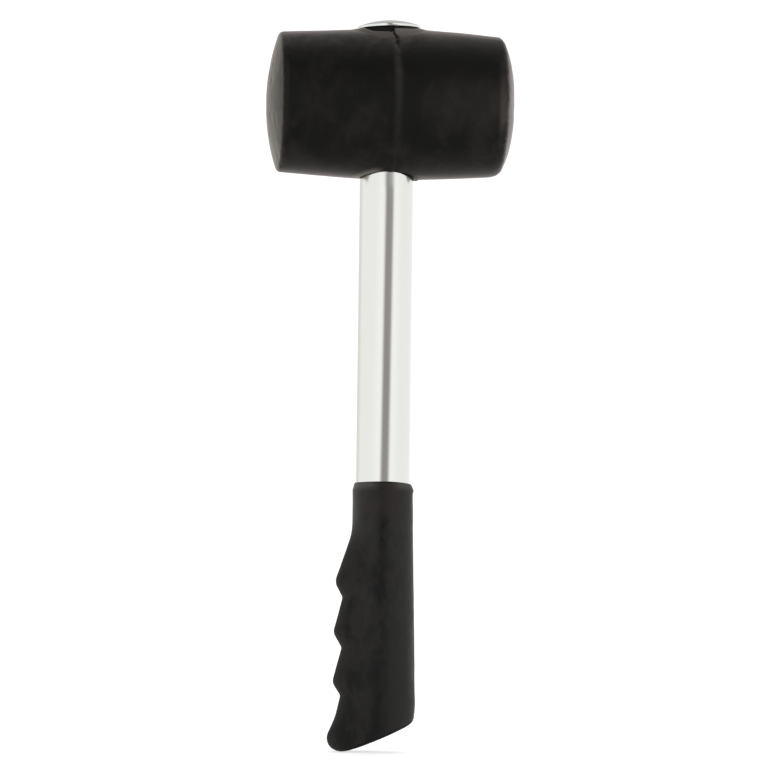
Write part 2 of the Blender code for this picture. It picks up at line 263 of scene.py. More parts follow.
def head_stations():
    """(x, radius) of the head's outline from the +X face, which is fuller, to the -X face."""
    left, right = (half_outline(rim_round) for rim_round in HEAD_RIM_ROUNDS)
    outline = np.array(right + [(-x, radius) for x, radius in reversed(left[:-1])])
    share = np.clip(outline[:, 1] / HEAD_RIM_RADIUS, 0.0, 1.0)
    on_face = outline[:, 0] > HEAD_RIM_X
    fuller = FACE_FULLNESS * share ** 2 * (1 - share ** 2) + FACE_REACH * (1 - share ** 6)
    outline[:, 0] += np.where(on_face, fuller, 0.0)
    return outline


def half_outline(rim_round):
    """(x, radius) from a face's middle over its rim to the parting plane, finest at the tube."""
    sphere = (HEAD_RIM_RADIUS ** 2 + HEAD_CROWN ** 2) / (2 * HEAD_CROWN)
    centre = HEAD_HALF_LENGTH - sphere
    rim_angle = math.asin(HEAD_RIM_RADIUS / sphere)
    crown = [
        (centre + sphere * math.cos(rim_angle * t), sphere * math.sin(rim_angle * t))
        for t in np.linspace(FIRST_STATION, 1.0, FACE_STATIONS)
    ]
    rim = rounded([
        (*crown[-RIM_STATIONS], 0.0),
        (HEAD_RIM_X, HEAD_RIM_RADIUS, rim_round),
        (0.0, HEAD_MID_RADIUS, 0.0),
    ], RIM_ARC)
    draft = rim[-2]
    side = []
    for x in side_stations(draft[0]):
        share = 1 - x / draft[0]
        side.append((x, draft[1] + share * (HEAD_MID_RADIUS - draft[1])))
    return crown[:-RIM_STATIONS] + rim[:-1] + side


def side_stations(start):
    """Distances from the parting plane, from start down to 0, closer together near the tube."""
    x = start
    stations = []
    while x > LAST_STEP:
        x -= SIDE_STEPS[0] if x < FINE_REACH else SIDE_STEPS[1]
        stations.append(max(x, 0.0))
    stations[-1] = 0.0
    return stations


def head_angles():
    """Column angles from +Z towards -Y, closer together where the tube enters and leaves."""
    quarters = np.linspace(0.0, 4.0, COLUMN_SAMPLES)
    density = 1 + MOUTH_DENSITY * (0.5 + 0.5 * np.cos(quarters * math.pi)) ** 2
    total = np.concatenate([[0.0], np.cumsum((density[1:] + density[:-1]) / 2)])
    share = np.arange(HEAD_COLUMNS) / HEAD_COLUMNS
    return np.interp(share, total / total[-1], quarters) * math.pi / 2


def head_points():
    """Points of the head's skin with its parting ridge, flash, dents and mould mismatch."""
    stations = head_stations()
    theta = head_angles()
    x = np.repeat(stations[:, 0, None], HEAD_COLUMNS, axis=1)
    radius = np.repeat(stations[:, 1, None], HEAD_COLUMNS, axis=1)
    angle = np.repeat(theta[None, :], len(stations), axis=0)
    flat = np.stack([x, -radius * np.sin(angle), radius * np.cos(angle)], axis=-1).reshape(-1, 3)
    lift = head_relief(flat, angle.ravel(), radius.ravel()).reshape(radius.shape)
    face = head_face_relief(flat, radius.ravel()).reshape(radius.shape)
    radius = radius + lift
    x = x + np.sign(x) * face
    top = smoothstep(0.45, 0.95, np.cos(angle))
    halves = smoothstep(-0.5 * MM, 0.5 * MM, x) - 0.5
    z = radius * np.cos(angle) + MISMATCH * halves * top * rim_fade(x)
    return np.stack([x + HEAD_OFFSET_X, -radius * np.sin(angle), z + HEAD_AXIS_Z], axis=-1)


def rim_fade(x):
    """1 over the middle of the head and 0 at both rims."""
    return 1 - smoothstep(0.55, 1.0, np.abs(x) / HEAD_RIM_X)


def head_relief(points, angle, radius):
    """Radial lift of the barrel: parting ridge, tear, mouth lip, collar, swell, waviness and wear."""
    x = points[:, 0]
    barrel = smoothstep(0.90, 1.0, radius / HEAD_RIM_RADIUS)
    ring = np.stack([np.sin(angle) * 8 * MM, np.cos(angle) * 8 * MM, np.zeros_like(angle)], axis=1)
    wander = RIDGE_WANDER * lattice_noise(ring, 2.2 * MM, 3)
    height = RIDGE_HEIGHT * (1 + 0.35 * lattice_noise(ring, 0.9 * MM, 5))
    s = x - wander - RIDGE_SHIFT
    ridge = np.where(s < 0, 1 - smoothstep(0.0, RIDGE_STEEP, -s), 1 - smoothstep(0.0, RIDGE_GENTLE, s))
    lift = height * ridge
    lift -= torn_flash(x - wander, angle)
    lift += mouth_lip(points)
    lift += cap_collar(points)
    share = np.clip(np.abs(x) / HEAD_RIM_X, 0.0, 1.0)
    lift += BARREL_SWELL + BARREL_BULGE * share * (1 - share)
    lift += BARREL_WAVE * lattice_noise(points, 17 * MM, 11)
    lift += BARREL_RIPPLE * lattice_noise(points, 4.5 * MM, 12)
    return lift * barrel - rim_nicks(points) - rolled_rim(points)


def rolled_rim(points):
    """The underside of the +X rim, worn rounder than the rest."""
    near = np.exp(-((points[:, 0] - HEAD_RIM_X) / (2.6 * MM)) ** 2)
    return LOWER_RIM_WEAR * near * smoothstep(8 * MM, 30 * MM, -points[:, 2])


def torn_flash(s, angle):
    """A jagged furrow beside the parting ridge, on the front of the crown below the cap."""
    ring = np.stack([angle * 35 * MM, s, np.zeros_like(s)], axis=1)
    jag = TEAR_JAG * lattice_noise(ring, 1.7 * MM, 21)
    slant = TEAR_SLANT[0] - (TEAR_SLANT[0] - TEAR_SLANT[1]) * (1 - smoothstep(0.40, 0.62, angle))
    inside = np.exp(-((s - slant - jag) / TEAR_WIDTH) ** 2)
    span = smoothstep(0.20, 0.30, angle) * (1 - smoothstep(0.70, 1.05, angle))
    rough = 1 + 0.6 * lattice_noise(ring, 1.1 * MM, 22)
    return TEAR_DEPTH * inside * span * rough


def mouth_lip(points):
    """A thin irregular roll of rubber round the tube where it leaves the head, mostly at +X."""
    below = points[:, 2] < 0
    around = np.arctan2(points[:, 1], points[:, 0])
    roll = np.exp(-((from_tube_axis(points) - TUBE_RADIUS - 1.3 * MM) / (1.0 * MM)) ** 2)
    right = np.exp(-((around + 0.15) / 0.55) ** 2)
    strength = 0.04 + 0.2 * lattice_noise(points, 5 * MM, 31) + 0.85 * right
    return np.where(below, MOUTH_LIP * roll * np.clip(strength, 0.0, 1.1), 0.0)


def from_tube_axis(points):
    """Distance from the tube's axis of points measured from the head's middle."""
    return np.hypot(points[:, 0] + HEAD_OFFSET_X, points[:, 1])


def cap_collar(points):
    """Rubber squeezed up round the cap's rim, higher on the +X side of the parting line."""
    side = smoothstep(-0.2 * MM, 0.7 * MM, points[:, 0])
    level = CAP_SEAT_Z - HEAD_AXIS_Z - COLLAR_DROP + side * COLLAR_STEP
    rise = COLLAR_RISE - COLLAR_RISE_LESS * side
    level = level + rise * smoothstep(8 * MM, 14.5 * MM, np.abs(points[:, 0]))
    level = level + COLLAR_RAGGEDNESS * lattice_noise(points, 3.5 * MM, 33)
    need = np.clip(level - points[:, 2], 0.0, COLLAR_LIMIT)
    near = 1 - smoothstep(14.6 * MM, 19.0 * MM, from_tube_axis(points))
    return np.where(points[:, 2] > 0, need * near, 0.0)


def rim_nicks(points):
    """Small dents and a slight raggedness where the faces meet the barrel."""
    distance = np.hypot(points[:, 1], points[:, 2])
    near_rim = np.exp(-((np.abs(points[:, 0]) - HEAD_RIM_X) / (1.6 * MM)) ** 2)
    near_rim *= smoothstep(0.85, 0.97, distance / HEAD_RIM_RADIUS)
    coarse = smoothstep(0.25, 0.8, lattice_noise(points, 5.0 * MM, 41))
    fine = lattice_noise(points, 1.8 * MM, 42)
    return near_rim * (NICK_DEPTH * coarse + RAGGEDNESS * fine)


def head_face_relief(points, radius):
    """Shallow hollows and bruises of use on both striking faces, along the head's axis."""
    on_face = 1 - smoothstep(0.93, 1.0, radius / HEAD_RIM_RADIUS)
    hollows = HOLLOW_DEPTH * lattice_noise(points, 11 * MM, 51)
    bruises = -BRUISE_DEPTH * smoothstep(0.35, 0.8, lattice_noise(points, 4 * MM, 52))
    grain = FACE_GRAIN * lattice_noise(points, 1.6 * MM, 53)
    return on_face * (hollows + bruises + grain)


def barrel_bottom_z(x, y):
    """Height of the plain barrel's underside at (x, y)."""
    share = np.abs(x - HEAD_OFFSET_X) / HEAD_RIM_X
    radius = HEAD_MID_RADIUS + share * (HEAD_RIM_RADIUS - HEAD_MID_RADIUS)
    return HEAD_AXIS_Z - np.sqrt(radius ** 2 - y ** 2)


BORE_FACETS = 144
BORE_BELL = 0.4 * MM
SEAT_CUT_HEIGHT = 12 * MM
BEAD_GROOVE_HALF_WIDTH = 2.9 * MM
BELL_START_DROP = 6.3 * MM
BELL_END_DROP = 3.3 * MM
MOUTH_PROFILE = ((1.0, 1.6), (0.55, 0.22), (0.28, 0.0), (0.12, -0.22), (0.03, -0.55), (0.0, -1.0))
BEAD_HEIGHT = 0.9 * MM


def bore_cutter():
    """Bore with a rounded mouth that follows the barrel below, and the cap's flat seat above."""
    angles = np.arange(BORE_FACETS) * math.tau / BORE_FACETS
    bore = TUBE_RADIUS + GAP
    rings = []
    size = MOUTH_ROUND * (MOUTH_SPREAD[0] + MOUTH_SPREAD[1] * np.abs(np.sin(angles)))
    for out, down in MOUTH_PROFILE:
        radius = bore + out * size
        x, y = radius * np.cos(angles), radius * np.sin(angles)
        z = barrel_bottom_z(x, y) - down * size
        rings.append(np.stack([x, y, z], axis=-1))
    straight = [
        (bore, BEAD_Z - BEAD_GROOVE_HALF_WIDTH), (bore + BEAD_HEIGHT, BEAD_Z),
        (bore, BEAD_Z + BEAD_GROOVE_HALF_WIDTH), (bore, CAP_SEAT_Z - BELL_START_DROP),
        (bore + BORE_BELL, CAP_SEAT_Z - BELL_END_DROP),
    ]
    seat_z = CAP_SEAT_Z - SEAT_GAP
    seat_radius = CAP_RADIUS + GAP
    seat = [(bore + BORE_BELL, seat_z), (seat_radius, seat_z), (seat_radius, seat_z + SEAT_CUT_HEIGHT)]
    rings += list(turned_rings(straight, BORE_FACETS))
    rings += list(leaning(turned_rings(seat, BORE_FACETS)))
    return ring_mesh("bore_cutter", np.stack(rings))


def leaning(points):
    """Points moved with the cap's lean."""
    matrix = np.array(askew())
    return points @ matrix[:3, :3].T + matrix[:3, 3]


def combined(mesh, *steps):
    """The mesh after Boolean steps, each an (operation, tool mesh) pair."""
    target = bpy.data.objects.new("blank", mesh)
    tools = []
    for operation, tool_mesh in steps:
        tool = bpy.data.objects.new("tool", tool_mesh)
        modifier = target.modifiers.new(operation, "BOOLEAN")
        modifier.operation = operation
        modifier.solver = "EXACT"
        modifier.object = tool
        tools.append(tool)
    for obj in (target, *tools):
        bpy.context.scene.collection.objects.link(obj)
    evaluated = target.evaluated_get(bpy.context.evaluated_depsgraph_get())
    result = bpy.data.meshes.new_from_object(evaluated)
    for obj in (target, *tools):
        bpy.data.objects.remove(obj)
    return result


def cap_boss():
    """The boss that carries the cap over the curve of the barrel, pressed flat by its lean."""
    top = CAP_SEAT_Z - SEAT_GAP
    profile = [(BOSS_RADIUS + 0.3 * MM, HEAD_AXIS_Z + 24 * MM), (BOSS_RADIUS + 0.1 * MM, top - 1.2 * MM)]
    profile += [(BOSS_RADIUS, top - 0.4 * MM), (BOSS_RADIUS - 0.3 * MM, top)]
    return ring_mesh("cap_boss", leaning(turned_rings(profile, BORE_FACETS)))


def rubber_head(finish):
    """The moulded head with its bore and cap seat."""
    skin = ring_mesh("head_skin", head_points())
    mesh = combined(skin, ("UNION", cap_boss()), ("DIFFERENCE", bore_cutter()))
    return new_object("mallet_head", mesh, finish, smooth_angle=38)


# Tube and cap -------------------------------------------------------------------------------------

BEAD_SHOULDER = (0.63 * MM, 1.0 * MM)
BEAD_HALF_WIDTH = 2.6 * MM
TUBE_BELL = (0.4 * MM, 3 * MM)
TUBE_FACETS = 160


def handle_tube(finish):
    """The steel tube, with its bead and belled mouth hidden in the head."""
    top = CAP_SEAT_Z - GAP
    out, along = BEAD_SHOULDER
    wall = [
        (0.0, TUBE_BOTTOM_Z), (0.0, BEAD_Z - BEAD_HALF_WIDTH), (out, BEAD_Z - along),
        (BEAD_HEIGHT, BEAD_Z), (out, BEAD_Z + along), (0.0, BEAD_Z + BEAD_HALF_WIDTH),
        (0.0, top - TUBE_BELL[1]), (TUBE_BELL[0], top),
    ]
    outside = with_stations([(TUBE_RADIUS + out, z) for out, z in wall], 6 * MM)
    inside = with_stations([(TUBE_BORE + out, z) for out, z in wall], 12 * MM)
    mesh = ring_mesh("tube", turned_rings(outside + inside[::-1], TUBE_FACETS), closed=True)
    return new_object("mallet_tube", mesh, finish, smooth_angle=30)


CAP_TILT = math.radians(-1.5)
CAP_SHIFT = 0.35 * MM
CAP_FACETS = 144
CAP_ARC = math.radians(12)
CAP_PLATE = 0.9 * MM
CAP_UNDERSIDE_RADIUS = 14.0 * MM
CAP_EDGE = (-0.25 * MM, 1.05 * MM)
CAP_BEVEL = (2.0 * MM, 1.85 * MM)
CAP_HOLLOW_TOP = 1.6 * MM
DOME_STATIONS = 26
STEM_RADIUS = TUBE_BORE - GAP
STEM_ROOT = STEM_RADIUS - 0.4 * MM
STEM_WALL = 1.7 * MM
STEM_LENGTH = 18 * MM
STEM_RIBS = 3
STEM_RIB_PITCH = 4.5 * MM
STEM_RIB_LENGTH = 2.7 * MM


def top_cap(finish):
    """The pressed cap, hammered home a little askew, on its ribbed hollow stem."""
    rim = rounded([
        (CAP_UNDERSIDE_RADIUS, CAP_SEAT_Z, 0.0),
        (CAP_RADIUS, CAP_SEAT_Z + CAP_EDGE[0], 0.15 * MM),
        (CAP_RADIUS, CAP_SEAT_Z + CAP_EDGE[1], 0.22 * MM),
        (CAP_RADIUS - CAP_BEVEL[0], CAP_SEAT_Z + CAP_BEVEL[1], 0.0),
    ], CAP_ARC)[1:-1]
    bottom = CAP_SEAT_Z - STEM_LENGTH
    hollow = STEM_RADIUS - STEM_WALL
    underside = [(CAP_UNDERSIDE_RADIUS, CAP_SEAT_Z), (STEM_ROOT, CAP_SEAT_Z)]
    end = [(STEM_ROOT, bottom + 1.3 * MM), (STEM_ROOT - 0.4 * MM, bottom)]
    inside = [
        (hollow, bottom), (hollow, CAP_SEAT_Z + CAP_PLATE), (0.02 * MM, CAP_SEAT_Z + CAP_HOLLOW_TOP),
    ]
    profile = cap_dome(rim[-1])[::-1] + rim[::-1] + underside + stem_ribs() + end + inside
    mesh = ring_mesh("cap", turned_rings(with_stations(profile, 3 * MM), CAP_FACETS))
    mesh.transform(askew())
    return new_object("mallet_cap", mesh, finish, smooth_angle=40)


def cap_dome(edge):
    """(radius, z) over the dome, from the edge to its middle."""
    edge_radius, edge_z = edge
    rise = CAP_SEAT_Z + CAP_PLATE + CAP_DOME - edge_z
    sphere = (edge_radius ** 2 + rise ** 2) / (2 * rise)
    span = math.asin(edge_radius / sphere)
    return [
        (sphere * math.sin(span * t), edge_z + rise - sphere * (1 - math.cos(span * t)))
        for t in np.linspace(1.0, 0.01, DOME_STATIONS)[1:]
    ]


def stem_ribs():
    """(radius, z) down the barbed ribs of the cap's stem."""
    points = []
    for i in range(STEM_RIBS):
        top = CAP_SEAT_Z - STEM_RIB_PITCH * (i + 0.7)
        points += [(STEM_ROOT, top), (STEM_RADIUS, top - 0.1 * MM), (STEM_ROOT, top - STEM_RIB_LENGTH)]
    return points


def askew():
    """The cap's lean about the low side of its rim, and its small shift."""
    pivot = Vector((-CAP_RADIUS, 0, CAP_SEAT_Z))
    shift = Vector((CAP_SHIFT, 0, 0))
    lean = Matrix.Rotation(CAP_TILT, 4, "Y")
    return Matrix.Translation(pivot + shift) @ lean @ Matrix.Translation(-pivot)


# Grip ---------------------------------------------------------------------------------------------

GRIP_COLUMNS = 168
GRIP_STEP = 1.1 * MM
GRIP_ARC = math.radians(7)
SWELL_Z = 101.3 * MM
GROOVES = 3
GROOVE_PITCH = 23.2 * MM
RIDGE_TOP_Z = 78.2 * MM
RIDGE_REACH = 21.7 * MM
TOP_RIDGE_ROUND = 6.0 * MM
RIDGE_ROUND = 4.5 * MM
GROOVE_GROWTH = 0.35 * MM
VALLEY_DROP = 7.0 * MM
LAST_VALLEY_DROP = 5.9 * MM
VALLEY_REACH = 17.8 * MM
VALLEY_ROUND = 2.2 * MM
HEEL_FLARE = (20.9 * MM, 15.9 * MM)
HEEL_REACH = 27.75 * MM
PALM_LOW = (15.8 * MM, 36.0 * MM)
PALM_HEEL = (16.3 * MM, 22.5 * MM)
PALM_BUTT_REACH = 15.6 * MM
FLANK_SWELL = (15.0 * MM, 78.0 * MM)
FLANK_BUTT_REACH = 15.2 * MM
TILT_START_Z = 62.0 * MM
TILT_HEIGHT = 54.0 * MM
BORE_FLOOR_Z = 20.0 * MM
SEAM_DENSITY = 0.16
LIP_SAGS = (1.0 * MM, 0.45 * MM)
PALM_LIP = 0.5 * MM
PALM_LIP_DROP = 2.6 * MM
PALM_LIP_WIDTH = 1.8 * MM
SEAM_HEIGHT = 0.16 * MM
SEAM_WIDTH = 0.45 * MM
GRIP_WAVE = 0.12 * MM
GRIP_RIPPLE = 0.04 * MM
TOUCHING = 1e-7


def neck_corners():
    """Corners of the rounded lip at the grip's top, shared by all its outlines."""
    return [
        (GRIP_BORE, GRIP_TOP_Z, 0.0),
        (13.3 * MM, GRIP_TOP_Z - 0.6 * MM, 1.0 * MM),
        (GRIP_NECK, GRIP_TOP_Z - 3.6 * MM, 5.0 * MM),
    ]


def finger_outline():
    """(reach, z) of the finger side, from the lip over the ridges to the heel and the butt face."""
    corners = neck_corners() + [(GRIP_NECK, SWELL_Z, 25 * MM)]
    for i in range(GROOVES):
        ridge_z = RIDGE_TOP_Z - i * GROOVE_PITCH
        drop = LAST_VALLEY_DROP if i == GROOVES - 1 else VALLEY_DROP
        growth = i * GROOVE_GROWTH
        corners.append((RIDGE_REACH + growth, ridge_z, RIDGE_ROUND if i else TOP_RIDGE_ROUND))
        corners.append((VALLEY_REACH + growth, ridge_z - drop, VALLEY_ROUND))
    corners.append((*HEEL_FLARE, 30 * MM))
    corners.append((HEEL_REACH, 0.0, 6.4 * MM))
    corners.append((BUTT_AXIS_Z / BUTT_SLOPE, 0.0, 11 * MM))
    corners.append((0.0, BUTT_AXIS_Z, 0.0))
    return rounded(corners, GRIP_ARC)[:-1]


def palm_outline():
    """(reach, z) of the palm side, which drifts outwards and turns in again above the butt."""
    return rounded(neck_corners() + [
        (*PALM_LOW, 60 * MM),
        (*PALM_HEEL, 14 * MM),
        (PALM_BUTT_REACH, BUTT_AXIS_Z + BUTT_SLOPE * PALM_BUTT_REACH, 4.2 * MM),
        (0.0, BUTT_AXIS_Z, 0.0),
    ], GRIP_ARC)


def flank_outline():
    """(reach, z) of both flanks, measured at the tube's axis."""
    return rounded(neck_corners() + [
        (GRIP_NECK, SWELL_Z, 40 * MM),
        (*FLANK_SWELL, 40 * MM),
        (FLANK_BUTT_REACH, BUTT_AXIS_Z, 1.6 * MM),
        (0.0, BUTT_AXIS_Z, 0.0),
    ], GRIP_ARC)


def reach_at(outline, level, slope):
    """Walk down an outline to where it meets the line z = level + slope * reach."""
    previous = None
    for reach, z in outline:
        above = z - level - slope * reach
        if above <= TOUCHING:
            if previous is None:
                return reach
            share = previous[1] / (previous[1] - above)
            return previous[0] + share * (reach - previous[0])
        previous = (reach, above)
    return previous[0]


def grip_angles():
    """Column angles from the palm side, a little closer together at the mould seams."""
    even = np.arange(GRIP_COLUMNS) * math.tau / GRIP_COLUMNS
    return even - SEAM_DENSITY * np.sin(2 * even)


def grip_points():
    """Rings of points round the grip, top to butt, after the ring on the floor of its bore."""
    angles = grip_angles()
    along, across = np.cos(angles), np.sin(angles)
    palm, flank = palm_outline(), flank_outline()
    rings = []
    for finger, finger_z in with_stations(finger_outline(), GRIP_STEP):
        tilt = (TILT_START_Z - finger_z) / TILT_HEIGHT
        slope = BUTT_SLOPE * min(max(tilt, 0.0), 1.0)
        level = finger_z + finger * slope
        back = reach_at(palm, level, slope)
        side = reach_at(flank, level, 0.0)
        x = along * np.where(along > 0, back, finger)
        rings.append(np.stack([x, side * across, level + slope * x], axis=-1))
    rings = np.stack(rings)
    rings += grip_relief(rings, angles)
    rings[..., 0] += palm_lip(rings, along)
    rings[..., 2] -= lip_sag(rings, along)
    floor = np.stack([GRIP_BORE * along, GRIP_BORE * across, np.full_like(along, BORE_FLOOR_Z)], axis=-1)
    return np.concatenate([floor[None], rings])


def lip_sag(rings, along):
    """How far the lip sits below its highest point: less on the finger side than on the palm side."""
    near_top = smoothstep(GRIP_TOP_Z - 7 * MM, GRIP_TOP_Z - 1 * MM, rings[..., 2])
    return near_top * np.where(along > 0, *LIP_SAGS) * along ** 2


def palm_lip(rings, along):
    """Outward swell of the lip on the palm side, just below its rounded edge."""
    level = (rings[..., 2] - GRIP_TOP_Z + PALM_LIP_DROP) / PALM_LIP_WIDTH
    return np.where(along > 0, PALM_LIP, 0.0) * along ** 2 * np.exp(-level ** 2)


def grip_relief(rings, angles):
    """Outward shifts of the grip's skin: mould seams and the slight waviness of soft rubber."""
    points = rings.reshape(-1, 3)
    outward = np.stack([np.cos(angles), np.sin(angles), np.zeros_like(angles)], axis=-1)
    reach = np.hypot(rings[..., 0], rings[..., 1])
    skin = smoothstep(13.3 * MM, 13.8 * MM, reach)
    butt = rings[..., 2] - BUTT_AXIS_Z - BUTT_SLOPE * rings[..., 0]
    skin = skin * smoothstep(1.0 * MM, 5.0 * MM, butt)
    wave = GRIP_WAVE * lattice_noise(points, 14 * MM, 61)
    wave += GRIP_RIPPLE * lattice_noise(points, 4 * MM, 62)
    seam = SEAM_HEIGHT * np.exp(-(rings[..., 1] / SEAM_WIDTH) ** 2)
    lift = skin * (wave.reshape(reach.shape) + seam)
    return lift[..., None] * outward


def grip_sleeve(finish):
    """The moulded finger grip, blind at the butt."""
    mesh = ring_mesh("grip", grip_points())
    return new_object("mallet_grip", mesh, finish, smooth_angle=50)


# Node helpers -------------------------------------------------------------------------------------

class Field:
    """A value that varies over a surface: a node's output that formulas can be written with."""

    def __init__(self, socket):
        self.socket = socket
        self.tree = socket.id_data

    def __add__(self, other):
        return maths(self.tree, "ADD", self, other)

    def __sub__(self, other):
        return maths(self.tree, "SUBTRACT", self, other)

    def __rsub__(self, other):
        return maths(self.tree, "SUBTRACT", other, self)

    def __mul__(self, other):
        return maths(self.tree, "MULTIPLY", self, other)

    def __abs__(self):
        return maths(self.tree, "ABSOLUTE", self)

    __radd__ = __add__
    __rmul__ = __mul__

    def at_least(self, other):
        """The greater of two values."""
        return maths(self.tree, "MAXIMUM", self, other)

    def at_most(self, other):
        """The smaller of two values."""
        return maths(self.tree, "MINIMUM", self, other)

    def clamped(self):
        """This value, kept between 0 and 1 by its own Math node."""
        self.socket.node.use_clamp = True
        return self

    def ramp(self, low, high, out_low=0.0, out_high=1.0):
        """Smooth map of this value from low..high to out_low..out_high."""
        settings = {"interpolation_type": "SMOOTHSTEP"}
        result = node(
            self.tree, "ShaderNodeMapRange", settings, Value=self, From_Min=low, From_Max=high,
            To_Min=out_low, To_Max=out_high,
        )
        return Field(result.outputs[0])


def blank_material(name):
    """A material with a Principled shader; returns the material, its tree and the shader."""
    result = bpy.data.materials.new(name)
    result.use_nodes = True
    tree = result.node_tree
    return result, tree, tree.nodes["Principled BSDF"]


def node(tree, kind, settings=(), **inputs):
    """Add a node, set its properties, and feed the inputs: underscores are spaces, _0 is the first."""
    result = tree.nodes.new(kind)
    for key, value in dict(settings).items():
        setattr(result, key, value)
    for key, value in inputs.items():
        name = int(key[1:]) if key[0] == "_" else key.replace("_", " ")
        feed(result.inputs[name], value)
    return result


def feed(socket, value):
    """Link a field to an input, or set the input's value."""
    if isinstance(value, Field):
        value.tree.links.new(value.socket, socket)
    else:
        socket.default_value = value


def maths(tree, operation, *operands):
    """One Math node's output."""
    inputs = {f"_{i}": operand for i, operand in enumerate(operands)}
    return Field(node(tree, "ShaderNodeMath", {"operation": operation}, **inputs).outputs[0])


def axes(vector):
    """The X, Y and Z of a vector field."""
    return [Field(output) for output in node(vector.tree, "ShaderNodeSeparateXYZ", Vector=vector).outputs]


def position(tree, scale=(1.0, 1.0, 1.0)):
    """Position in the row frame, stretched by scale."""
    coordinates = Field(node(tree, "ShaderNodeTexCoord").outputs["Object"])
    return Field(node(tree, "ShaderNodeMapping", Vector=coordinates, Scale=scale).outputs[0])


def noise(place, scale, detail=4.0, roughness=0.55, distortion=0.0):
    """Noise from 0 to 1, whose largest features are about 1 / scale metres wide."""
    result = node(
        place.tree, "ShaderNodeTexNoise", Vector=place, Scale=scale, Detail=detail,
        Roughness=roughness, Distortion=distortion,
    )
    return Field(result.outputs["Fac"])


def blend(factor, a, b):
    """Mix of two colours."""
    result = node(factor.tree, "ShaderNodeMix", {"data_type": "RGBA"}, _0=factor, _6=a, _7=b)
    return Field(result.outputs[2])


def bump(height, distance, strength, under=None):
    """The normal of a height field, laid over another bump where there is one."""
    result = node(height.tree, "ShaderNodeBump", Height=height, Distance=distance, Strength=strength)
    if under is not None:
        feed(result.inputs["Normal"], under)
    return Field(result.outputs[0])


# Head material ------------------------------------------------------------------------------------

RUBBER_BLACK = (0.0030, 0.0028, 0.0026, 1)
RUBBER_GREY = (0.0066, 0.0062, 0.0057, 1)
DUST_AND_HIGHLIGHT = (0.062, 0.054, 0.050, 1)
BARE_RUBBER_AND_HIGHLIGHT = (0.165, 0.150, 0.138, 1)
HEAD_SHEEN = (1.0, 0.87, 0.82, 1)
BARREL_TAPER = 0.055


def head_rubber():
    """Dense black rubber: satin skin, dusty bruised faces, scuffed rims, a painted highlight beside the
    parting line, painted light on crown and underside, painted shade in the furrow.
    """
    result, tree, shader = blank_material("head_rubber")
    head = head_fields(tree)
    rim = head.from_middle.ramp(HEAD_RIM_X - 4.0 * MM, HEAD_RIM_X - 0.2 * MM)
    scuff = rim * head.smear.ramp(0.52, 0.72)
    # Dust and pale rubber stay out of the furrow, so it reads black as painted shade.
    outside_tear_and_shade = 1.0 - tear_and_shade_mask(head)
    black = blend(head.cloud, RUBBER_BLACK, RUBBER_GREY)
    colour = blend(dust_and_highlight_mask(head, scuff) * outside_tear_and_shade, black, DUST_AND_HIGHLIGHT)
    colour = blend(bare_and_highlight_mask(head, outside_tear_and_shade), colour, BARE_RUBBER_AND_HIGHLIGHT)
    feed(shader.inputs["Base Color"], colour)
    rough = 0.44 + head.cloud * 0.12 + scuff * 0.15 - head.face * 0.14
    feed(shader.inputs["Roughness"], (rough + head.fine * 0.06).clamped())
    shader.inputs["Specular IOR Level"].default_value = 0.16
    shader.inputs["Sheen Weight"].default_value = 0.38
    shader.inputs["Sheen Roughness"].default_value = 0.3
    shader.inputs["Sheen Tint"].default_value = HEAD_SHEEN
    skin = head.fine * 0.6 + head.grain * 0.4
    feed(shader.inputs["Normal"], bump(skin, 0.045 * MM, 0.7, bump(head.cloud, 0.25 * MM, 0.5)))
    return result


def head_fields(tree):
    """Distances, noises and zones that the head's masks share."""
    place = position(tree)
    x, y, z = axes(place)
    head = SimpleNamespace(x=x, height=z - HEAD_AXIS_Z, from_middle=abs(x - HEAD_OFFSET_X))
    across = Field(node(tree, "ShaderNodeCombineXYZ", X=x, Y=y).outputs[0])
    length = node(tree, "ShaderNodeVectorMath", {"operation": "LENGTH"}, _0=across)
    head.from_tube_axis = Field(length.outputs["Value"])

    # Noises
    head.ragged = noise(place, 260.0, 5.0, 0.65)
    head.cloud = noise(place, 55.0, 5.0, 0.6, 0.4)
    head.smear = noise(position(tree, (1.0, 1.0, 0.35)), 140.0, 4.0, 0.6, 0.8)
    head.fine = noise(place, 1500.0, 3.0, 0.6)
    head.grain = noise(place, 4200.0, 2.0, 0.5)
    head.patch = (head.cloud * head.smear).ramp(0.18, 0.40)

    # Zones, 0 outside and 1 inside: the faces, the +X half, all but the cap's pocket, the collar
    frayed = head.from_middle + head.ragged * (2.0 * MM)
    head.face = frayed.ramp(HEAD_RIM_X + 0.1 * MM, HEAD_RIM_X + 2.4 * MM)
    head.plus_side = x.ramp(5 * MM, 42 * MM)
    # The cap's pocket gets no dust or pale rubber, so the boss under the cap stays black: painted shade.
    head.outside_cap = head.from_tube_axis.ramp(14.0 * MM, 14.6 * MM)
    head.collar = head.from_tube_axis.ramp(15.0 * MM, 21.5 * MM, 1.1, 0.0)
    head.collar = head.collar * head.height.ramp(20 * MM, 26 * MM)

    # Uneven chalky bloom, stronger towards +X
    bloom = head.cloud.ramp(0.35, 0.65) + head.ragged.ramp(0.36, 0.64)
    head.bloom = bloom * 0.26 + head.patch * 0.25 + head.plus_side * 0.35
    return head


